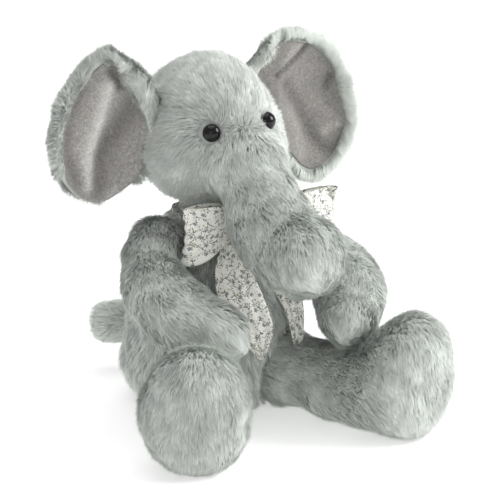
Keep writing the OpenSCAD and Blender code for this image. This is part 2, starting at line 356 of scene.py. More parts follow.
def pile_material():
    """The knitted ground that the fur stands in, painted darker than the fur: painted shade, the shade that
    falls among the roots.
    """
    m, n, b = material("plush_ground", FUR_ROOT_SHADE, 0.9)
    col = n.ramp(n.noise(n.place(), 260, 3), (0.3, (0.34, 0.36, 0.335)), (0.7, (0.46, 0.49, 0.455)))
    n.put(b.inputs["Base Color"], col)
    return m


def velour_material():
    """Short pile velour, painted lighter on its ridges and darker in its dents and hollows: partly the pile
    brushed different ways, partly painted light and shade.
    """
    m, n, b = material("velour", (0.3, 0.28, 0.27), 0.8, Sheen_Weight=0.4, Sheen_Roughness=0.4)
    here = n.place()
    nap = n.attribute("nap")
    lay = n.noise(here, 60, 3, 0.6)
    grain = n.noise(here, 1300, 2, 0.7)
    speck = n.noise(here, 520, 2, 0.6)
    fine = n.math("SUBTRACT", n.math("MULTIPLY", n.math("ADD", grain, speck), 0.50), 0.50)
    fac = n.math("ADD", n.math("ADD", nap, fine), n.math("MULTIPLY", n.math("SUBTRACT", lay, 0.5), 0.14))
    # the dark end is painted shade in the hollows, the light end painted highlights on the ridges
    col = n.ramp(fac, (0.0, (0.085, 0.080, 0.075)), (0.45, (0.300, 0.287, 0.272)), (1.0, (0.86, 0.84, 0.81)))
    n.put(b.inputs["Base Color"], col)
    n.put(b.inputs["Normal"], n.bump(n.math("ADD", grain, speck), 0.5, 0.0006))
    return m


def cotton_material():
    """Cream cotton with small sprigs: thin stems, leaves and five-petalled flowers."""
    m, n, b = material("print_cotton", (0.82, 0.81, 0.77), 0.75, Sheen_Weight=0.15)
    uv = n.add("ShaderNodeUVMap", uv_map="cloth").outputs[0]
    at = n.scaled(uv, 1000.0)
    wob = n.noise(at, 0.16, 1, out="Color")
    bent = n.vec("ADD", at, n.scaled(n.vec("SUBTRACT", wob, (0.5, 0.5, 0.5)), 7.0))

    def cells(where, size, seed, kind="F1", jitter=0.9):
        """Cells about size mm across, and the shifted place that they are drawn from."""
        there = n.vec("ADD", where, (seed, seed * 0.7, 0))
        v = n.add("ShaderNodeTexVoronoi", {"Vector": there, "Scale": 1.0 / size, "Randomness": jitter},
                  feature=kind, voronoi_dimensions="2D")
        return v.outputs, there

    def channel(colour, i):
        return n.add("ShaderNodeSeparateColor", {0: colour}).outputs[i]

    # stems: thin curving lines, broken up into sprigs
    edge = cells(bent, 7.5, 3.1, "DISTANCE_TO_EDGE")[0]["Distance"]
    stem = n.math("SUBTRACT", 1.0, n.step(edge, 0.014, 0.032))
    gaps = n.step(n.noise(at, 0.13, 1), 0.38, 0.44)
    stem = n.math("MULTIPLY", stem, gaps)
    near = n.math("SUBTRACT", 1.0, n.step(edge, 0.26, 0.32))
    # leaves: small slanted ovals along the stems
    leaves = 0.0
    for size, seed, spin in ((2.6, 11.0, 0.7), (3.0, 27.0, -0.8), (3.3, 43.0, 1.5)):
        v, there = cells(at, size, seed)
        d = n.vec("SUBTRACT", there, v["Position"])
        r = n.add("ShaderNodeVectorRotate", {"Vector": d, "Angle": spin}, rotation_type="Z_AXIS").outputs[0]
        s = n.length(n.vec("MULTIPLY", r, (1.0, 2.3, 0)))
        some = n.math("GREATER_THAN", channel(v["Color"], 0), 0.42)
        on = n.math("MULTIPLY", some, n.math("LESS_THAN", s, 0.78))
        leaves = n.math("MAXIMUM", leaves, n.math("MULTIPLY", on, n.math("MULTIPLY", near, gaps)))
    # flowers: five lobes round a heart, in some of the cells
    v, there = cells(at, 8.6, 5.0, jitter=0.75)
    d = n.vec("SUBTRACT", there, v["Position"])
    xy = n.add("ShaderNodeSeparateXYZ", {0: d}).outputs
    turn = n.math("ARCTAN2", xy[1], xy[0])
    lobes = n.math("ABSOLUTE", n.math("COSINE", n.math("MULTIPLY", turn, 2.5), 0.0), 0.0)
    reach = n.math("ADD", 0.75, n.math("MULTIPLY", lobes, 0.95))
    far = n.length(d)
    reach = n.math("MULTIPLY", reach, n.math("GREATER_THAN", channel(v["Color"], 1), 0.28))
    petal = n.math("LESS_THAN", far, reach)
    vein = n.math("LESS_THAN", far, n.math("SUBTRACT", reach, 0.32))
    heart = n.math("LESS_THAN", far, 0.42)

    cloth = n.ramp(n.noise(at, 0.9, 2), (0.35, (0.82, 0.815, 0.755)), (0.65, (0.93, 0.925, 0.865)))
    col = n.mix(stem, cloth, (0.115, 0.115, 0.085))
    col = n.mix(leaves, col, (0.125, 0.130, 0.095))
    col = n.mix(petal, col, (0.110, 0.118, 0.115))
    col = n.mix(vein, col, (0.33, 0.37, 0.385))
    col = n.mix(heart, col, (0.10, 0.11, 0.12))
    n.put(b.inputs["Base Color"], col)
    bands = [n.add("ShaderNodeTexWave", {"Vector": at, "Scale": 1.1}, wave_type="BANDS",
                   bands_direction=way).outputs["Fac"] for way in "XY"]
    n.put(b.inputs["Normal"], n.bump(n.math("MULTIPLY", *bands), 0.25, 0.0002))
    return m


def eye_material():
    m, n, b = material("eye_black", (0.006, 0.005, 0.005), 0.06, IOR=1.38)
    n.put(b.inputs["Roughness"], n.math("ADD", 0.05, n.math("MULTIPLY", n.noise(n.place(), 500, 2), 0.03)))
    return m


def plain_material(name, colour, rough, scale, spread=0.12):
    m, n, b = material(name, colour, rough)
    lo = tuple(c * (1 - spread) for c in colour)
    hi = tuple(min(1, c * (1 + spread)) for c in colour)
    col = n.ramp(n.noise(n.place(), scale, 3), (0.3, lo), (0.7, hi))
    n.put(b.inputs["Base Color"], col)
    n.put(b.inputs["Normal"], n.bump(n.noise(n.place(), scale * 2, 2), 0.3, 0.0005))
    return m


FUR = fur_material()
GROUND = pile_material()
VELOUR = velour_material()
COTTON = cotton_material()
EYE = eye_material()
WASHER = plain_material("washer", (0.75, 0.75, 0.72), 0.45, 300)
STUFFING = plain_material("stuffing", (0.86, 0.86, 0.84), 0.95, 120)
BAG = plain_material("bag_cloth", (0.66, 0.64, 0.58), 0.85, 400)


def dress(ob, mat):
    ob.data.materials.clear()
    ob.data.materials.append(mat)
    return ob


# what each kind of CAD node is made of, by the start of its name
MADE_OF = (("eye_washer", WASHER), ("eye", EYE), ("seat_bag", BAG), ("bow", COTTON), ("neck", COTTON),
           ("ear_lining", VELOUR), ("", GROUND))
for name, ob in NODE.items():
    dress(ob, STUFFING if "filling" in name else next(m for start, m in MADE_OF if name.startswith(start)))


# ---- stuffed skins

HEAD_C = middle("head_filling")
TRUNK_ROOT = pivot("trunk_lift")
SIDES = ("left", "right")
EYES = [middle("eye_" + s) for s in SIDES]
VOXEL, TAIL_VOXEL = 0.0048, 0.0035


def eye_gap(p):
    """Distance from the middle of the nearer eye."""
    return np.minimum(*[dist(p, e) for e in EYES])


def together(*parts):
    """One list of points and triangles from several closed surfaces."""
    co, tri, at = [], [], 0
    for c, t in parts:
        co.append(c)
        tri.append(t + at)
        at += len(c)
    return np.vstack(co), np.vstack(tri)


def ball(centre, radii, turn=0.0):
    """A closed egg shape, its radii along x, y and z, turned about x by turn degrees."""
    bm = bmesh.new()
    bmesh.ops.create_icosphere(bm, subdivisions=4, radius=1)
    co = np.array([v.co[:] for v in bm.verts])
    tri = np.array([[v.index for v in f.verts] for f in bm.faces])
    bm.free()
    co = co * np.array(radii)
    a = math.radians(turn)
    rot = np.array([[1, 0, 0], [0, math.cos(a), -math.sin(a)], [0, math.sin(a), math.cos(a)]])
    return co @ rot.T + np.asarray(centre), tri


def fill_creases(ob, weight, rounds, rate=0.6):
    """Draws inward creases out to a smooth cover, where weight is above 0, and leaves what stands out."""
    e = read(ob.data.edges, "vertices", 2, np.int64)
    a, b = np.concatenate([e[:, 0], e[:, 1]]), np.concatenate([e[:, 1], e[:, 0]])
    p = points_of(ob)
    num = np.maximum(np.bincount(a, minlength=len(p)), 1)[:, None]
    w = weight(p)[:, None]
    for i in range(rounds):
        mean = np.stack([np.bincount(a, p[b, k], len(p)) for k in range(3)], 1) / num
        lap = mean - p
        if i % 10 == 0:
            set_points(ob, p)
            n = normals_of(ob)
        out = np.sum(lap * n, 1, keepdims=True)
        p += w * rate * (np.maximum(out, 0) * n + 0.5 * (lap - out * n))
    set_points(ob, p)


HEAD_R = (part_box("head_filling")[1][0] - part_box("head_filling")[0][0]) / 2

skins = {}
co, tri, _ = arrays(NODE["torso_filling"])
skins["torso"] = remeshed("torso_plush", co, tri, VOXEL)
co, tri = together(ball(HEAD_C, [HEAD_R] * 3), outer_shell("trunk_skin"),
                   ball(TRUNK_ROOT + [0.000, -0.006, 0.001], (0.0262, 0.0228, 0.0262), 20))
skins["head"] = remeshed("head_plush", co, tri, VOXEL)


def skin_node(k):
    """The CAD node of a skin: tail_skin for tail, arm_skin_left for arm_left."""
    return k.replace("_", "_skin_") if "_" in k else k + "_skin"


for k in ["tail"] + [a + "_" + s for a in ("arm", "leg") for s in SIDES]:
    part = outer_shell(skin_node(k))
    if k.startswith("leg"):
        part = together(part, outer_shell(k.replace("leg", "sole")))
    skins[k] = remeshed(k + "_plush", *part, VOXEL if k != "tail" else TAIL_VOXEL)

STANDS_FOR = {k: [skin_node(k)] for k in skins}
STANDS_FOR["head"].append("trunk_skin")
for s in SIDES:
    STANDS_FOR["leg_" + s].append("sole_" + s)


# the face is one skin over head and trunk, which keeps its place and joins neither body
FACE = ("head", "trunk")


def piece(ob, mat, nodes, body):
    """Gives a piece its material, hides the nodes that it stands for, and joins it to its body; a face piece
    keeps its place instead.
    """
    dress(ob, mat)
    if nodes:
        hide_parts(*nodes)
    if body == FACE:
        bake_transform(ob)
    else:
        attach(ob, body)


def sole_ring(side):
    """Middle and outward direction of a foot's sole."""
    c = middle("sole_" + side)
    hip = pivot("leg_%s_splay" % side)
    out = c - hip
    out[2] = 0
    return c, unit(out)


# Shoulders and seat are a little fuller. Sizes come before the pile, which adds its own height.
push(skins["torso"], lambda p, n: 0.0012
     + sum(0.0060 * bump(p, [k * 0.034, 0.000, 0.132], 0.032)
           + 0.0060 * bump(p, [k * 0.056, 0.028, 0.022], 0.030) for k in (-1, 1)))
TRUNK_MID = TRUNK_ROOT + [0.006, -0.034, -0.030]
NOSE = TRUNK_ROOT + [0.002, -0.012, -0.006]
fill_creases(skins["head"], lambda p: clamp(1.6 * bump(p, NOSE, 0.060))
             * clamp((eye_gap(p) - 0.008) / 0.010), 90)
fill_creases(skins["head"], lambda p: clamp(1.5 * bump(p, TRUNK_MID, 0.055)), 40)
drag(skins["head"], (TRUNK_MID + [-0.008, -0.004, -0.012], 0.050, [-0.0050, 0.0015, -0.0035]))
# cheeks out, crown and temples in, trunk a little slimmer
push(skins["head"], lambda p, n: 0.0010
     + 0.0035 * bump(p, HEAD_C + [-0.036, -0.006, -0.030], 0.040)
     + 0.0035 * bump(p, HEAD_C + [0.036, -0.006, -0.030], 0.040)
     - 0.0042 * bump(p, HEAD_C + [-0.006, 0.000, 0.058], 0.042)
     - 0.0110 * bump(p, HEAD_C + [0.048, -0.014, 0.029], 0.058)
     - 0.0080 * bump(p, HEAD_C + [-0.047, -0.013, 0.031], 0.056)
     - 0.0016 * (dist(p, HEAD_C) > HEAD_R + 0.006))
push(skins["tail"], lambda p, n: 0.0004)
TAIL_ROOT = pivot("tail_wag")
TAIL_WAY = unit(inside_box("tail_skin", 0.22, 0.80, 0.40) - TAIL_ROOT)


def blunt_tail(ob, half=0.0105, shorter=0.0055):
    """Shortens the tail, and squares its round end over a length of half, in metres."""
    co = points_of(ob)
    along = (co - TAIL_ROOT) @ TAIL_WAY
    off = co - TAIL_ROOT - np.outer(along, TAIL_WAY)
    co = co - np.outer(shorter * clamp(along / along.max()) ** 2, TAIL_WAY)
    along = (co - TAIL_ROOT) @ TAIL_WAY
    t = np.clip((along - along.max() + half) / half, 0, 0.985)
    set_points(ob, co + off * ((1 - t ** 5) ** 0.2 / np.sqrt(1 - t ** 2) - 1)[:, None])


blunt_tail(skins["tail"])
# the left hand hangs lower and is fuller, the right one lies a little higher
HAND_LEFT = inside_box("arm_skin_left", 0.22, 0.12, 0.14)
HAND_RIGHT = inside_box("arm_skin_right", 0.78, 0.10, 0.14)
drag(skins["arm_left"], (HAND_LEFT, 0.070, [-0.0030, -0.0010, -0.0070]), (HAND_LEFT, 0.042, [0.0045, 0, 0]))
push(skins["arm_left"], lambda p, n: 0.0030 * bump(p, HAND_LEFT + [-0.010, 0.010, 0.002], 0.045))
drag(skins["arm_right"], (HAND_RIGHT, 0.060, [0, 0, 0.0035]))
# round shoulders on the arms, full thighs, and feet that are flatter inside and higher on top
for s in SIDES:
    top = pivot("arm_%s_swing" % s) + [0.008 * (1 if s == "left" else -1), -0.004, 0.016]
    push(skins["arm_" + s], lambda p, n: -0.0012 + 0.0055 * bump(p, top, 0.034))
    hip = pivot("leg_%s_splay" % s)
    c, out = sole_ring(s)
    push(skins["leg_" + s], lambda p, n: -0.0012 + 0.0055 * bump(p, hip + out * 0.030 + [0, 0, 0.004], 0.036)
         * (n[:, 2] > -0.5))
    inner = np.cross(out, [0, 0, 1.0]) * (1 if s == "left" else -1)
    inner = inner * -np.sign(inner[0] * c[0])
    push(skins["leg_" + s], lambda p, n: -0.0045 * bump(p, c + inner * 0.034 - out * 0.006, 0.040)
         + 0.0040 * bump(p, c + [0, 0, 0.036] - out * 0.004, 0.036))
    fill_creases(skins["leg_" + s], lambda p: clamp(1.3 - np.abs((p - c) @ out + 0.004) / 0.014), 120)


def plump(names, pressure=4.0, cap=0.004, frames=20):
    """Blows the closed skins up a little as cloth, holding their seams, and keeps the result."""
    start = {}
    for k in names:
        ob = skins[k]
        start[k] = points_of(ob)
        m = ob.modifiers.new("Cloth", "CLOTH")
        st = m.settings
        st.quality, st.mass = 4, 0.25
        st.tension_stiffness = st.compression_stiffness = 12
        st.shear_stiffness, st.bending_stiffness = 4, 0.6
        st.use_pressure, st.uniform_pressure_force = True, pressure
        st.effector_weights.gravity = 0
        m.point_cache.frame_start, m.point_cache.frame_end = 1, frames
        held = seam_weights(k, start[k])
        g = ob.vertex_groups.new(name="seam")
        for i in np.nonzero(held > 0.05)[0]:
            g.add([int(i)], float(held[i]), "REPLACE")
        st.vertex_group_mass = "seam"
    for f in range(1, frames + 1):
        scene.frame_set(f)
    for k in names:
        ob = skins[k]
        bake(ob)
        moved = points_of(ob) - start[k]
        far = np.linalg.norm(moved, axis=1, keepdims=True)
        set_points(ob, start[k] + moved * np.minimum(1, cap / np.maximum(far, 1e-9)))
    scene.frame_set(1)


def seam_weights(k, p):
    """How firmly each point is held by the stitching: 1 on a seam, 0 away from it."""
    if k.startswith("leg"):
        c, out = sole_ring(k[4:])
        along = (p - c) @ out
        return clamp(1.4 - np.abs(along + 0.004) / 0.003)
    if k == "torso":
        return clamp(1.2 - p[:, 2] / 0.006)
    if k == "head":
        return bump(p, TRUNK_ROOT + [0, -0.008, 0], 0.030)
    return bump(p, pivot("tail_wag") if k == "tail" else pivot(k + "_swing"), 0.024)


plump(list(skins))
for s in SIDES:
    c, out = sole_ring(s)
    fill_creases(skins["leg_" + s], lambda p: clamp(1.3 - np.abs((p - c) @ out + 0.003) / 0.012), 70)

# the head's filling follows its narrower forehead
filling = new_object("head_stuffing", skins["head"].data.copy())
push(filling, lambda p, n: -0.0014)
piece(filling, STUFFING, ["head_filling", "trunk_filling"], FACE)

for k, ob in skins.items():
    m = ob.modifiers.new("round", "SUBSURF")
    m.levels = m.render_levels = 1
    bake(ob)
    smooth(ob.data)
    piece(ob, GROUND, STANDS_FOR[k], FACE if k == "head" else k)


# ---- ears

def ear_frame(side):
    """Middle, outward, upward and forward directions of an ear, with half its width and height."""
    co, _, _ = arrays(NODE["ear_lining_" + side])
    c = (co.max(0) + co.min(0)) / 2
    up = np.array(JOINT["ear_%s_flap" % side]["axis"], float)
    up = unit(up * np.sign(up[2]))
    flat = co - co.mean(0)
    _, vec = np.linalg.eigh(flat.T @ flat)
    normal = vec[:, 0] * -np.sign(vec[1, 0])
    out = unit(np.cross(up, normal))
    out *= np.sign(out[0]) * (1 if side == "left" else -1)
    up = unit(np.cross(normal, out))
    up *= np.sign(up[2])
    back, _, _ = arrays(NODE["ear_back_" + side])
    rel = (back - c) @ np.stack([out, up, normal], 1)
    return c, out, up, normal, rel[:, 0].max(), rel[:, 1].max()


def outline(pairs):
    """Distance to a rim for every half degree, softly rounded through a few (degrees, mm) pairs."""
    a, r = np.array(pairs, float).T
    deg = np.arange(0, 360, 0.5)
    val = np.interp(deg, a, r, period=360) * MM
    win = np.hanning(41)
    return deg, np.convolve(np.concatenate([val[-20:], val, val[:20]]), win / win.sum(), "valid")


def strokes(x, y, rows):
    """Sum of soft strokes along lines of points in mm, each with its reach in mm and its height."""
    total = np.zeros(np.shape(x))
    for points, wide, amount in rows:
        near = np.full(np.shape(x), 1.0)
        for (x0, y0), (x1, y1) in zip(points[:-1], points[1:]):
            dx, dy = (x1 - x0) * MM, (y1 - y0) * MM
            t = clamp(((x - x0 * MM) * dx + (y - y0 * MM) * dy) / (dx * dx + dy * dy))
            near = np.minimum(near, np.hypot(x - x0 * MM - t * dx, y - y0 * MM - t * dy))
        total = total + amount * np.exp(-(near / (wide * MM)) ** 2)
    return total


# The two ears are hand-sewn and differ. Round the lining's middle, in degrees from straight out and mm:
# rim, and width of the pile in front of the lining. Fold: way it faces, distance, roll, turn and bend.
# Strokes: lighter or darker strokes of dented velour, partly the pile brushed different ways and partly
# painted highlights on ridges and painted shade in dents and hollows. Tone: how light the velour is, painted
# lighter on the near ear as more light falls on it.
EAR_SHAPE = {
    "right": dict(
        rim=[(3, 34), (34, 33.5), (59, 38), (78, 46), (90, 54), (104, 64), (118, 72), (130, 77),
             (142, 80), (152, 80), (165, 68), (180, 54), (200, 50), (227, 49), (251, 53), (262, 55.5),
             (277, 54.5), (294, 48.5), (315, 41), (334, 36.5)],
        edge=[(0, 8), (60, 8.5), (90, 8), (120, 6), (180, 5), (225, 2), (265, 1.2), (290, 2.5), (315, 5),
              (335, 7.5)],
        fold=(125, 46.5, 7.5, 165, 9.0),
        nap=[([(-8, 30), (-4, 4), (2, -18), (3, -42)], 6.0, 0.30),
             ([(-27, 16), (-20, 1), (-12, -12), (-7, -24), (-4, -46)], 7.5, -0.26),
             ([(13, 26), (21, 2), (22, -20), (12, -42)], 5.5, -0.22),
             ([(-16, -47), (-7, -53)], 6, 0.14), ([(-9, 42), (-17, 31)], 4, -0.30)],
        # the near ear's velour is painted lighter: painted light, as more light falls on it
        tone=0.48),
    "left": dict(
        rim=[(12, 24), (41, 27.5), (64, 35.5), (81, 44), (95, 53), (106, 60), (114, 66), (120, 73), (127, 81),
             (133, 89), (139, 97), (147, 98), (155, 88), (165, 66), (180, 54), (205, 48), (230, 49), (247, 55),
             (256, 56), (272, 50.5), (289, 43.5), (304, 38), (320, 33), (338, 27.5)],
        edge=[(0, 7.2), (80, 7.6), (115, 8), (135, 12), (160, 12), (185, 9), (215, 5), (300, 7.0)],
        fold=(122, 62.0, 8.5, 163, 0.0),
        nap=[([(-27, -2), (-22, -14), (-22, -34)], 6, 0.13), ([(0, -24), (7, -20), (14, -19)], 4.2, 0.13),
             ([(-28, 20), (-22, 9), (-16, -7), (-10, -20), (-5, -31), (4, -38)], 5.5, -0.17),
             ([(8, 11), (11, 18)], 3.6, -0.18), ([(-8, 46), (-15, 40), (-25, 35), (-36, 29)], 2.4, -0.26),
             ([(-11, 51), (-20, 46), (-32, 39)], 3.0, 0.14), ([(5, -10), (-6, 4)], 5, 0.08),
             ([(12, -34), (18, -28)], 5, -0.12)],
        # the far ear's velour is painted darker: painted shade, as it faces away from the light
        tone=0.31),
}


class Ear:
    """An ear in its own directions from the lining's middle: x away from the head, y up and z forward."""

    def __init__(self, side):
        self.side = side
        self.c, self.out, self.up, self.front, self.hw, self.hh = ear_frame(side)
        shape = EAR_SHAPE[side]
        self.rim, self.edge = outline(shape["rim"]), outline(shape["edge"])
        self.nap, self.tone = shape["nap"], shape["tone"]
        turn, line, roll, top, self.bend = shape["fold"]
        self.dir, self.line, self.roll, self.top = math.radians(turn), line * MM, roll * MM, math.radians(top)

    def reach(self, a):
        """Distance from the middle to the rim in direction a, with the corner that folds forward."""
        return np.interp(np.degrees(a) % 360, *self.rim, period=360)

    def lining_edge(self, a):
        """Part of the rim distance where the lining stops."""
        return 1 - np.interp(np.degrees(a) % 360, *self.edge, period=360) / self.reach(a)

    def flat(self, r, a, depth):
        d = self.reach(a) * r
        x, y = d * np.cos(a), d * np.sin(a)
        q = np.hypot(x / self.hw, y / self.hh)
        cup = 0.012 * (np.minimum(q, 1.05) ** 2 - 0.55)
        z = cup + 0.010 * strokes(x, y, self.nap) * (1 - clamp((r - 0.82) / 0.18)) + depth
        return x, y, z + 0.0013 * np.sin(3 * a + 0.6) * r ** 3 + 0.0007 * np.sin(7 * a) * r ** 4

    def folded(self, x, y, z):
        """Rolls the upper corner next to the head forward, as stitching into the seam does."""
        nx, ny = math.cos(self.dir), math.sin(self.dir)
        run = y * nx - x * ny
        ends = np.where(run > -0.004, self.bend, 9.0)
        s = x * nx + y * ny - self.line + np.minimum(ends * (run + 0.004) ** 2, 0.012)
        over = np.maximum(s, 0)
        turn = np.minimum(over / self.roll, self.top)
        rest = over - turn * self.roll
        across = self.roll * np.sin(turn) + rest * np.cos(turn)
        lift = self.roll * (1 - np.cos(turn)) + rest * np.sin(turn)
        past = s > 0
        shift = np.where(past, across - s - z * np.sin(turn), 0)
        return x + nx * shift, y + ny * shift, np.where(past, lift + z * np.cos(turn), z)

    def world(self, x, y, z):
        x, y, z = self.folded(x, y, z)
        return (self.c + np.multiply.outer(x, self.out) + np.multiply.outer(y, self.up)
                + np.multiply.outer(z, self.front))

    def panel(self, depth, rows=44, cols=160):
        """The lining's surface, from the middle to its edge, and how light the velour is painted at each
        point, with painted light and shade on its dents.
        """
        r = np.linspace(0, 1, rows)[:, None] * np.ones(cols + 1)
        a = np.ones(rows)[:, None] * np.linspace(0, 2 * math.pi, cols + 1)
        x, y, z = self.flat(r * self.lining_edge(a), a, depth)
        return self.world(x, y, z), self.tone + strokes(x, y, self.nap)


def closed_ear(ear):
    """Padded ear with a round edge: front panel, edge and back panel in one skin.
    Also gives, per point, how much pile grows there and which way it lies."""
    cols = 180
    a = np.linspace(0, 2 * math.pi, cols + 1)[:-1]
    prof = [(r, 0.0015) for r in np.linspace(0.02, 0.95, 28)]
    prof += [(0.97, 0.0012), (0.985, 0.0004), (0.992, -0.0008), (0.985, -0.0020), (0.97, -0.0028)]
    prof += [(r, -0.0032 - 0.0012 * (1 - r)) for r in np.linspace(0.95, 0.02, 28)]
    front, back = 28, 31  # the first row of the round edge, and the first that faces back
    rows, pile = [], []
    for i, (r, d) in enumerate(prof):
        x, y, z = ear.flat(np.full(cols, r), a, d)
        rows.append(ear.world(x, y, z))
        low = (-np.sin(a) > 0.80) & (ear.side == "right")
        pile.append((r > ear.lining_edge(a) - 0.01) & ~low | (i >= back + 3 * low))
    pts = np.array(rows)
    lie = np.gradient(pts, axis=0)
    lie[back:] *= -1
    lie[front + 1:back + 1] = lie[front]
    lie = unit(lie)
    # the back is combed one way, outward and down
    rim = clamp((np.array([r for r, _ in prof]) - 0.72) / 0.22)[back:, None, None]
    lie[back:] = lie[back:] * rim + (0.8 * ear.out - 0.6 * ear.up) * (1 - rim)
    k, m = pts.shape[:2]
    ids = np.arange(k * m).reshape(k, m)
    nxt = np.roll(ids, -1, axis=1)
    faces = list(np.stack([ids[:-1], nxt[:-1], nxt[1:], ids[1:]], -1).reshape(-1, 4))
    faces += [list(ids[0][::-1]), list(ids[-1])]
    return pts.reshape(-1, 3), faces, np.array(pile, float).ravel(), unit(lie.reshape(-1, 3))


ears = {}
for s in SIDES:
    ear = Ear(s)
    pts, faces, ear.pile, ear.lie = closed_ear(ear)
    ob = mesh_from("ear_%s_plush" % s, pts, faces)
    p, t, _ = arrays(ob)
    vol = np.einsum("ij,ij->i", p[t[:, 0]], np.cross(p[t[:, 1]], p[t[:, 2]])).sum()
    if vol < 0:
        ob.data.flip_normals()
    piece(ob, GROUND, ["ear_back_" + s], "ear_" + s)
    # the lining's lightness per point, with painted light and shade on its dents
    points, nap = ear.panel(0.0022)
    lining = grid("ear_%s_lining" % s, points)
    set_values(lining.data, "nap", nap.ravel())
    if (arrays(lining)[2] @ ear.front).mean() < 0:
        lining.data.flip_normals()
    m = lining.modifiers.new("cloth", "SOLIDIFY")
    m.thickness, m.offset = 0.0008, -1
    piece(lining, VELOUR, ["ear_lining_" + s], "ear_" + s)
    ears[s] = (ear, ob)


# ---- bow

KNOT = middle("bow_knot")
THICK = 0.0007


def smooth_path(points, n):
    """Even points on a smooth curve through the given ones."""
    p = np.array(points, float)
    ext = np.vstack([2 * p[0] - p[1], p, 2 * p[-1] - p[-2]])
    out = []
    for i in range(len(p) - 1):
        a, b, c, d = ext[i:i + 4]
        for t in np.linspace(0, 1, 24, endpoint=False):
            out.append(0.5 * ((2 * b) + (c - a) * t + (2 * a - 5 * b + 4 * c - d) * t ** 2
                              + (3 * b - a - 3 * c + d) * t ** 3))
    out.append(p[-1])
    out = np.array(out)
    run = np.concatenate([[0], np.cumsum(np.linalg.norm(np.diff(out[:, :3], axis=0), axis=1))])
    s = np.linspace(0, run[-1], n)
    return np.stack([np.interp(s, run, out[:, i]) for i in range(out.shape[1])], 1), run[-1]


def cotton(ob, node):
    """Finishes a piece of the printed cotton, which lies on the torso."""
    piece(ob, COTTON, [node], "torso")


def ribbon(node, flat_width, stations, pleats, seed, count=5, held="gathered"):
    """A cloth band along stations of x, y, z, width, tilt of its width (degrees) in mm from the knot."""
    st, length = smooth_path(stations, 70)
    n, m = len(st), 33
    mid = st[:, :3] * MM + KNOT
    width, tilt = st[:, 3] * MM, np.radians(st[:, 4])
    along = unit(np.gradient(mid, axis=0))
    if held == "hung":
        across = unit(np.cross(along, [0, -1.0, 0]))
    else:
        across = np.tile([0, 0, 1.0], (n, 1))
    across = unit(across - along * np.sum(across * along, 1, keepdims=True))
    face = unit(np.cross(along, across))
    ca, sa = np.cos(tilt)[:, None], np.sin(tilt)[:, None]
    across, face = across * ca + face * sa, face * ca - across * sa
    v = np.linspace(-1, 1, m)
    s = np.linspace(0, 1, n)
    rng = np.random.default_rng(seed)
    ph = rng.uniform(0, 6.28, 3)
    fullness = clamp(1 - width / (flat_width * MM))
    wave = (np.cos(count * math.pi * v[None, :] + ph[0] + 0.8 * np.sin(3 * s[:, None] + ph[1]))
            * (pleats * MM) * (0.25 + fullness[:, None]))
    soft = 0.0007 * np.sin(5 * s[:, None] * 3.1 + 2 * v[None, :] + ph[2])
    pts = (mid[:, None, :] + across[:, None, :] * (v[None, :, None] * width[:, None, None] / 2)
           + face[:, None, :] * (wave + soft)[:, :, None])
    u, v = (s * length * MM)[:, None], (v * flat_width * MM / 2)[None, :]
    ob = grid(node + "_cloth", pts, u=u, v=v, thick=THICK)
    cotton(ob, node)


# each loop: front layer out to its end, round, and back behind
ribbon("bow_loop_right", 44, [
    (-5, -1, 4, 13, 0), (-13, -5, 8, 18, 0), (-22, -9, 10, 22, 3), (-36, -12, 7.5, 31, 7),
    (-50, -13, 4, 39, 9), (-57.5, -11, 2.5, 41.5, 9), (-58.5, -5.5, 2.5, 41, 5), (-53, -2, 4, 37, 2),
    (-40, 0.5, 8, 30, 0), (-24, 1.5, 10, 22, 0), (-11, 1, 7, 15, 0), (-5, 0.5, 4, 13, 0)
], pleats=1.7, seed=4)
ribbon("bow_loop_left", 40, [
    (5, -1, 4, 13, 0), (14, -4, 7, 19, -3), (30, -6, 8, 27, -8), (45, -7, 6.5, 34, -12),
    (58.5, -4, 5, 38.5, -12), (65.5, 0, 4.5, 39, -9), (63.5, 4.5, 6, 37, -6), (51, 5, 9, 30, 0),
    (36, 7, 9, 24, 0), (18, 3, 8, 17, 0), (5, 1, 4, 13, 0)
], pleats=1.7, seed=9)
ribbon("bow_tail_right", 33, [
    (-2, -3, -2, 9, 0), (-13, -6, -7, 18, 4), (-20, -10, -17, 26, 6), (-24, -17, -32, 30, 8),
    (-19, -24, -53, 31, 10), (-13, -30, -70, 26, 12), (-11, -32, -81, 13, 12), (-10.5, -33, -89, 3, 12)
], pleats=1.3, seed=15, count=3, held="hung")
ribbon("bow_tail_left", 28, [
    (1, -3, -3, 9, 0), (4, -9, -15, 15, 20), (11, -16, -31, 19, 38), (17, -22, -47, 18, 50),
    (21, -24, -62, 15, 52), (23, -24, -77, 9, 52), (23.5, -24, -89, 3, 52)
], pleats=1.2, seed=12, count=3, held="hung")


def knot():
    """The crossing strip: a small barrel of gathered cloth."""
    n, m = 49, 25
    a = np.linspace(0, 2 * math.pi, n)[:, None]
    v = np.linspace(-1, 1, m)[None, :]
    r = 1 + 0.05 * np.cos(7 * math.pi * v + 0.5 * np.sin(a)) - 0.26 * v ** 2
    lo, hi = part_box("bow_knot")
    half = (np.array(hi) - np.array(lo)) / 2
    x = half[0] * 0.95 * v * np.ones_like(a)
    y = half[1] * r * np.sin(a)
    z = half[2] * r * np.cos(a)
    pts = np.stack([x, y, z], -1) + KNOT
    ob = grid("bow_knot_cloth", pts, u=a * half[2], v=v * 0.013, thick=THICK)
    cotton(ob, "bow_knot")


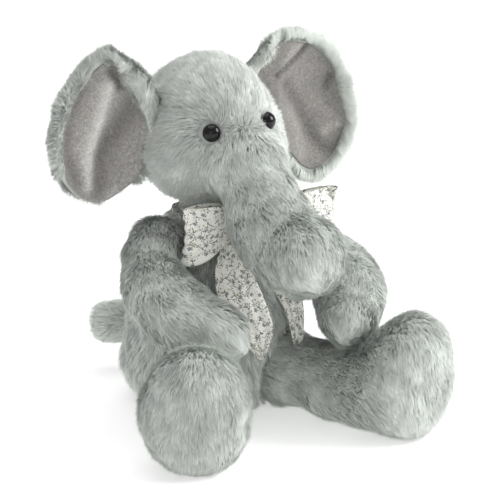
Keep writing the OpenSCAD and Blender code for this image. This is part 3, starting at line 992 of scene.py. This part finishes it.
def neck_band():
    """The gathered strip round the neck."""
    lo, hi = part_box("neck_band")
    n, m = 97, 17
    a = np.linspace(0, 2 * math.pi, n)[:, None]
    v = np.linspace(-1, 1, m)[None, :]
    rad = ((hi[0] - lo[0]) / 2 - 0.0006 - 0.0028 * (v + 1) / 2
           + 0.0007 * np.cos(3 * math.pi * v + 3 * np.sin(2 * a)))
    z = (lo[2] + hi[2]) / 2 + v * (hi[2] - lo[2]) / 2 + 0.0008 * np.sin(5 * a)
    pts = np.stack([rad * np.sin(a), rad * np.cos(a), z * np.ones_like(a)], -1)
    ob = grid("neck_band_cloth", pts, u=a * 0.032, v=v * 0.006, thick=THICK)
    cotton(ob, "neck_band")


knot()
neck_band()


# ---- plush pile

def lines(p, points):
    """Direction along the nearest stretch of a line through points, at each p."""
    pts = np.array(points, float)
    out, total = np.zeros_like(p), np.zeros(len(p))
    for a, b in zip(pts[:-1], pts[1:]):
        ab = b - a
        t = clamp((p - a) @ ab / (ab @ ab))
        d = np.linalg.norm(p - a - np.outer(t, ab), axis=1)
        w = 1 / (d + 1e-3) ** 4
        out += w[:, None] * unit(ab)
        total += w
    return unit(out / total[:, None])


TREES = {}
for k, ob in skins.items():
    co, tri, _ = arrays(ob)
    TREES[k] = (bvhtree.BVHTree.FromPolygons(co.tolist(), tri.tolist()), co.min(0), co.max(0))


def buried(p, others, depth=0.001):
    """Which points lie inside one of the other skins."""
    inside = np.zeros(len(p), bool)
    for k in others:
        tree, lo, hi = TREES[k]
        near = np.nonzero(((p > lo) & (p < hi)).all(1) & ~inside)[0]
        for i in near:
            loc, no, _, _ = tree.find_nearest(Vector(p[i]))
            if (Vector(p[i]) - loc).dot(no) < -depth:
                inside[i] = True
    return inside


STRANDS_PER_PIECE = 66000
ABOVE_FLOOR = 0.0007


def pile(name, source, body, count, flow, seed, **more):
    """Dense pile, in as many interleaved pieces as its number of strands needs."""
    parts = int(math.ceil(count / STRANDS_PER_PIECE))
    for i in range(parts):
        part = name if parts == 1 else "%s_%d" % (name, i + 1)
        fur(part, source, body, count // parts, flow, seed + 500 * i, **more)


def locks_order(p, lock, locks):
    """A number per lock that puts neighbours close together."""
    num = np.maximum(np.bincount(lock, minlength=locks), 1)
    mean = np.stack([np.bincount(lock, p[:, i], locks) for i in range(3)], 1) / num[:, None]
    q = np.floor((mean - mean.min(0)) / 0.012)
    return q[:, 2] * 1e6 + q[:, 0] * 1e3 + q[:, 1] + mean[:, 0]


def fur(name, source, body, count, flow, seed, length=0.0098, width=0.00036, lift=31, clump=0.36, weight=None,
        long=None, hidden_by=(), per=10, wander=17, grown=None, laid=None, tint=lambda p: 0.0):
    """Pile on a skin: one tapered strand per root, combed along flow and gathered in small locks."""
    rng = np.random.default_rng(seed)
    co, tri, vn = arrays(source)
    a, b, c = co[tri[:, 0]], co[tri[:, 1]], co[tri[:, 2]]
    area = np.linalg.norm(np.cross(b - a, c - a), axis=1)
    if weight is not None:
        area = area * weight((a + b + c) / 3, unit(np.cross(b - a, c - a)))
    if grown is not None:
        area = area * (grown[tri].min(axis=1) > 0.5)
    pick = rng.choice(len(tri), count, p=area / area.sum())
    r1, r2 = np.sqrt(rng.random(count)), rng.random(count)
    bary = np.stack([1 - r1, r1 * (1 - r2), r1 * r2], 1)
    p = np.einsum("ij,ijk->ik", bary, co[tri[pick]])
    n = unit(np.einsum("ij,ijk->ik", bary, vn[tri[pick]]))
    t = flow(p, n) if laid is None else np.einsum("ij,ijk->ik", bary, laid[tri[pick]])
    if hidden_by:
        ok = ~buried(p + n * 0.002, hidden_by)
        p, n, t = p[ok], n[ok], t[ok]
    count = len(p)
    t = t - n * np.sum(t * n, 1, keepdims=True)
    t = unit(t + rng.normal(0, 0.06, t.shape))
    t = unit(t - n * np.sum(t * n, 1, keepdims=True))
    side = np.cross(n, t)
    ang = np.radians(wander) * (0.7 * waves(p, 0.030, seed + 1) + 0.5 * waves(p, 0.011, seed + 2))
    ang = ang + rng.normal(0, math.radians(9), count)
    t = t * np.cos(ang)[:, None] + side * np.sin(ang)[:, None]
    side = np.cross(n, t)
    el = np.radians(lift + 9 * waves(p, 0.018, seed + 3) + rng.normal(0, 7, count))
    size = length * rng.uniform(0.78, 1.16, count) * (1 + 0.14 * waves(p, 0.015, seed + 4))
    if long is not None:
        size = size * long(p)
    e1, e2 = el + math.radians(16), el - math.radians(16)
    d1 = t * np.cos(e1)[:, None] + n * np.sin(e1)[:, None]
    d2 = t * np.cos(e2)[:, None] + n * np.sin(e2)[:, None]
    p0 = p - n * 0.0006
    p1 = p + d1 * (size * 0.5)[:, None]
    p2 = p1 + d2 * (size * 0.5)[:, None]
    # locks: strands lean towards the middle of their lock
    locks = max(count // per, 1)
    heart = rng.choice(count, locks, replace=False)
    tree = kdtree.KDTree(locks)
    mix_p = p + t * 0.002
    for i, h in enumerate(heart):
        tree.insert(mix_p[h], i)
    tree.balance()
    lock = np.fromiter((tree.find(q)[1] for q in p), dtype=np.int64, count=count)
    num = np.maximum(np.bincount(lock, minlength=locks), 1)[:, None]
    for q, k in ((p1, clump * 0.45), (p2, clump)):
        mean = np.stack([np.bincount(lock, q[:, i], locks) for i in range(3)], 1) / num
        own = rng.uniform(0.6, 1.25, count)[:, None]
        q += (mean[lock] - q) * np.clip(k * own, 0, 0.95)
    stray = rng.random(count) < 0.05
    p2[stray] += n[stray] * 0.0016
    for q in (p0, p1, p2):
        q[:, 2] = np.maximum(q[:, 2], ABOVE_FLOOR)
    roll = rng.uniform(-0.75, 0.75, count)[:, None]
    wide = side * np.cos(roll) + n * np.sin(roll)
    w = (width * rng.uniform(0.7, 1.3, count))[:, None]
    v = np.empty((count, 5, 3))
    v[:, 0], v[:, 1] = p0 - wide * w / 2, p0 + wide * w / 2
    v[:, 2], v[:, 3] = p1 - wide * w * 0.42, p1 + wide * w * 0.42
    v[:, 4] = p2
    first = (np.arange(count) * 5)[:, None]
    quad = first + [0, 1, 3, 2]
    trig = first + [2, 3, 4]
    face_n = np.cross(v[:, 1] - v[:, 0], v[:, 3] - v[:, 1])
    flip = np.sum(face_n * n, 1) < 0
    quad[flip] = quad[flip][:, ::-1]
    trig[flip] = trig[flip][:, ::-1]
    me = bpy.data.meshes.new(name)
    me.vertices.add(count * 5)
    me.vertices.foreach_set("co", v.ravel())
    me.loops.add(count * 7)
    me.loops.foreach_set("vertex_index", np.concatenate([quad, trig], 1).ravel().astype(np.int32))
    me.polygons.add(count * 2)
    starts = (np.arange(count) * 7)[:, None] + [0, 4]
    me.polygons.foreach_set("loop_start", starts.ravel().astype(np.int32))
    me.update(calc_edges=True)
    smooth(me)
    # one small square of the texture per lock, root to tip
    cells = int(math.ceil(math.sqrt(locks)))
    order = np.argsort(np.argsort(locks_order(p, lock, locks)))
    cu, cv = order[lock] % cells, order[lock] // cells
    lu = np.array([0.3, 0.7, 0.3, 0.7, 0.5])
    lv = np.array([0.12, 0.12, 0.5, 0.5, 0.88])
    uv = np.stack([(cu[:, None] + lu) / cells, (cv[:, None] + lv) / cells], -1).reshape(-1, 2)
    set_uv(me, "OFBake", uv)
    # the piece's own term is painted light and shade; the waves and random terms are the pile's uneven tone
    tone = (0.5 + tint(p) + 0.17 * waves(p, 0.026, 400 + seed % 500)
            + 0.35 * rng.normal(size=locks)[lock] * 0.5 + 0.3 * rng.normal(size=count) * 0.6
            + 0.30 * waves(p, 0.012, 900 + seed % 500))
    set_values(me, "tip", np.tile([0.0, 0.0, 0.5, 0.5, 1.0], count))
    set_values(me, "tone", np.repeat(clamp(tone), 5))
    ribbon_n = unit(np.cross(wide, d2))
    ribbon_n *= np.sign(np.sum(ribbon_n * n, 1, keepdims=True) + 1e-9)
    base_n = unit(n * 0.62 + ribbon_n * 0.38)
    me.normals_split_custom_set_from_vertices(np.repeat(base_n, 5, axis=0))
    piece(new_object(name, me), FUR, (), body)


DOWN = np.array([0, 0, -1.0])


def eye_clear(p, near=0.0074, far=0.0145):
    """0 round the eyes, where no pile grows, 1 away from them."""
    return clamp((eye_gap(p) - near) / (far - near))


def on_trunk(p):
    """0 on the head, 1 on the trunk, in the way the pile turns over the bridge of the nose."""
    a, b = TRUNK_ROOT + [0, -0.016, 0.022], TRUNK_ROOT + [0.002, -0.030, -0.002]
    t = clamp((p - a) @ (b - a) / ((b - a) @ (b - a)))
    far = clamp((dist(p, HEAD_C) - HEAD_R) / 0.010 + 0.4)
    return t * far


def head_flow(p, n):
    """Away from a parting between the eyes, round each eye, and down the trunk."""
    part = (EYES[0] + EYES[1]) / 2 + [0, -0.012, 0.002]
    away = p - part
    away[:, 0] -= np.clip(away[:, 0], -0.014, 0.014)
    away = unit(away)
    t = away + 0.30 * DOWN * (p[:, 2:3] < HEAD_C[2] + 0.02)
    for e in EYES:
        d = p - e
        t += 1.6 * unit(d) * np.exp(-(np.linalg.norm(d, axis=1, keepdims=True) / 0.010) ** 2)
    k = on_trunk(p)[:, None]
    return unit(t) * (1 - k) + k * (lines(p, TRUNK_LINE) + 0.15 * DOWN)


TRUNK_LINE = [TRUNK_ROOT + [0, 0.010, 0.012], TRUNK_ROOT + [0.003, -0.018, -0.013],
              inside_box("trunk_skin", 0.48, 0.42, 0.42), inside_box("trunk_skin", 0.5, 0.22, 0.26)]


def leg_flow(s):
    """Along the leg, turning down over the sole."""
    c, out = sole_ring(s)

    def flow(p, n):
        d = (p - c) @ out
        end = clamp((d + 0.024) / 0.022)[:, None]
        ray = p - c
        ray = unit(ray - np.outer(ray @ out, out))
        return out * (1 - 0.88 * end) + DOWN * (0.22 + 0.78 * end) + 0.22 * ray * (d > 0)[:, None]
    return flow


def head_side(p):
    return dist(p, HEAD_C) < HEAD_R + 0.004


def near_head(p, gap, fade):
    """1 within gap of the head's stuffing, 0 from fade further out."""
    return clamp((HEAD_R + gap - dist(p, HEAD_C)) / fade)


pile("fur_head", skins["head"], FACE, 110000, head_flow, 11,
     weight=lambda p, n: (head_side(p) * (0.70 + 0.30 * clamp((0.050 - p[:, 1]) / 0.040))
                          * (eye_clear(p) > 0)),
     long=lambda p: ((0.45 + 0.55 * eye_clear(p, 0.0065, 0.020))
                     * (1 - 0.25 * bump(p, TRUNK_ROOT + [0, -0.020, 0.016], 0.02))),
     hidden_by=("torso",),
     # painted shade over the near cheek, which faces away from the key light, and painted light on the crown;
     # the head's pile is also a little darker overall
     tint=lambda p: (-0.18 - 0.40 * bump(p, HEAD_C + [-0.044, -0.034, -0.020], 0.066)
                     + 0.20 * bump(p, HEAD_C + [0.014, -0.012, 0.056], 0.040)))
pile("fur_trunk", skins["head"], FACE, 66000, head_flow, 22, weight=lambda p, n: ~head_side(p) * 1.0)
pile("fur_torso", skins["torso"], "torso", 66000, lambda p, n: DOWN + 0.15 * unit(p * [1, 1, 0]), 33,
     weight=lambda p, n: (n[:, 2] > -0.85) * 1.0,
     long=lambda p: ((1.0 - 0.45 * bump(p * [1, 1, 0.45], [0.006, -0.052, 0.045], 0.034))
                     * (1 - 0.94 * near_head(p, 0.016, 0.008))),
     hidden_by=("leg_left", "leg_right", "arm_left", "arm_right", "head", "tail"))
for i, s in enumerate(SIDES):
    hip, (c, out) = pivot("leg_%s_splay" % s), sole_ring(s)
    shaded = s == "right"
    pile("fur_leg_" + s, skins["leg_" + s], "leg_" + s, 90000, leg_flow(s), 44 + i * 7,
         weight=lambda p, n: (0.5 + 0.5 * (p[:, 2] > 0.006)) * ((p - hip) @ out > -0.004),
         hidden_by=("torso",),
         # near leg only: painted light on top of the foot, where the hand's shadow falls, and painted shade
         # over the sole
         tint=lambda p: shaded * (0.55 * bump(p, c + [0, 0, 0.042] - out * 0.008, 0.026)
                                  - 0.32 * ((p - c) @ out > -0.006)))
    way = [pivot("arm_%s_swing" % s),
           inside_box("arm_skin_" + s, *((0.72, 0.42, 0.40) if s == "left" else (0.26, 0.42, 0.40))),
           inside_box("arm_skin_" + s, *((0.18, 0.06, 0.12) if s == "left" else (0.80, 0.06, 0.14)))]
    # the arms are painted a little lighter: painted light, to lift the shade that falls on them
    pile("fur_arm_" + s, skins["arm_" + s], "arm_" + s, 60000, lambda p, n: lines(p, way) + 0.25 * DOWN,
         71 + i * 7, hidden_by=("torso", "head"), tint=lambda p: 0.10)
TAIL_END = inside_box("tail_skin", 0.06, 0.86, 0.40)


def tail_flow(p, n):
    """Along the tail, and down over its blunt end."""
    cap = clamp((n @ TAIL_WAY - 0.55) / 0.2)[:, None]
    return (lines(p, [TAIL_ROOT, TAIL_END]) + 0.1 * DOWN) * (1 - cap) + DOWN * cap


# the tail is painted lighter: painted light, to lift the shade it sits in
pile("fur_tail", skins["tail"], "tail", 16000, tail_flow, 93, length=0.008, hidden_by=("torso",),
     tint=lambda p: 0.42)
# the far (left) ear's pile is painted much lighter, a painted glow for light coming through its rim from
# behind; the near ear's is a little darker, painted shade
for i, (s, (ear, ob)) in enumerate(ears.items()):
    pile("fur_ear_" + s, ob, "ear_" + s, 64000, None, 101 + i * 9, length=0.0088, lift=27, per=6, clump=0.26,
         grown=ear.pile, laid=ear.lie, long=lambda p: 1 - 0.65 * near_head(p, 0.014, 0.010),
         tint=lambda p: -0.10 if s == "right" else 1.0)


# ---- eyes

for s in SIDES:
    smooth(NODE["eye_" + s].data)


# ---- light, floor and camera

AIM = (0.0253, -0.0105, 0.112)


def area_light(name, where, size, power):
    """A round soft light that points at the toy."""
    data = bpy.data.lights.new(name, "AREA")
    data.shape, data.size, data.energy = "DISK", size, power
    ob = new_object(name, data)
    ob.location = where
    ob.rotation_euler = (Vector(AIM) - Vector(where)).to_track_quat("-Z", "Y").to_euler()


floor_mat = material("floor", (0.93, 0.93, 0.93), 0.9, Emission_Strength=0.42, Emission_Color=(1, 1, 1, 1))[0]
bpy.ops.mesh.primitive_plane_add(size=12, location=(0, 0, -0.0002))
floor = bpy.context.object
floor.name = "floor"
dress(floor, floor_mat)

area_light("key", (1.52, -0.85, 1.15), 1.2, 31)
area_light("fill", (-1.2, -1.6, 0.62), 1.4, 3.5)
area_light("top", (0.0, 0.25, 2.3), 2.4, 20)

world = bpy.data.worlds.new("studio")
scene.world = world
world.use_nodes = True
sky = world.node_tree.nodes["Background"].inputs
sky["Color"].default_value, sky["Strength"].default_value = (1, 1, 1, 1), 0.48
scene.view_settings.view_transform = "Standard"

turn, rise, away = math.radians(-26), math.radians(16), 2.1
back = Vector((math.sin(turn) * math.cos(rise), -math.cos(turn) * math.cos(rise), math.sin(rise)))
cam = bpy.data.cameras.new("camera")
cam.lens, cam.sensor_width, cam.clip_end = 204.3, 36, 50
scene.camera = new_object("camera", cam)
scene.camera.location = Vector(AIM) + back * away
scene.camera.rotation_euler = (-back).to_track_quat("-Z", "Y").to_euler()
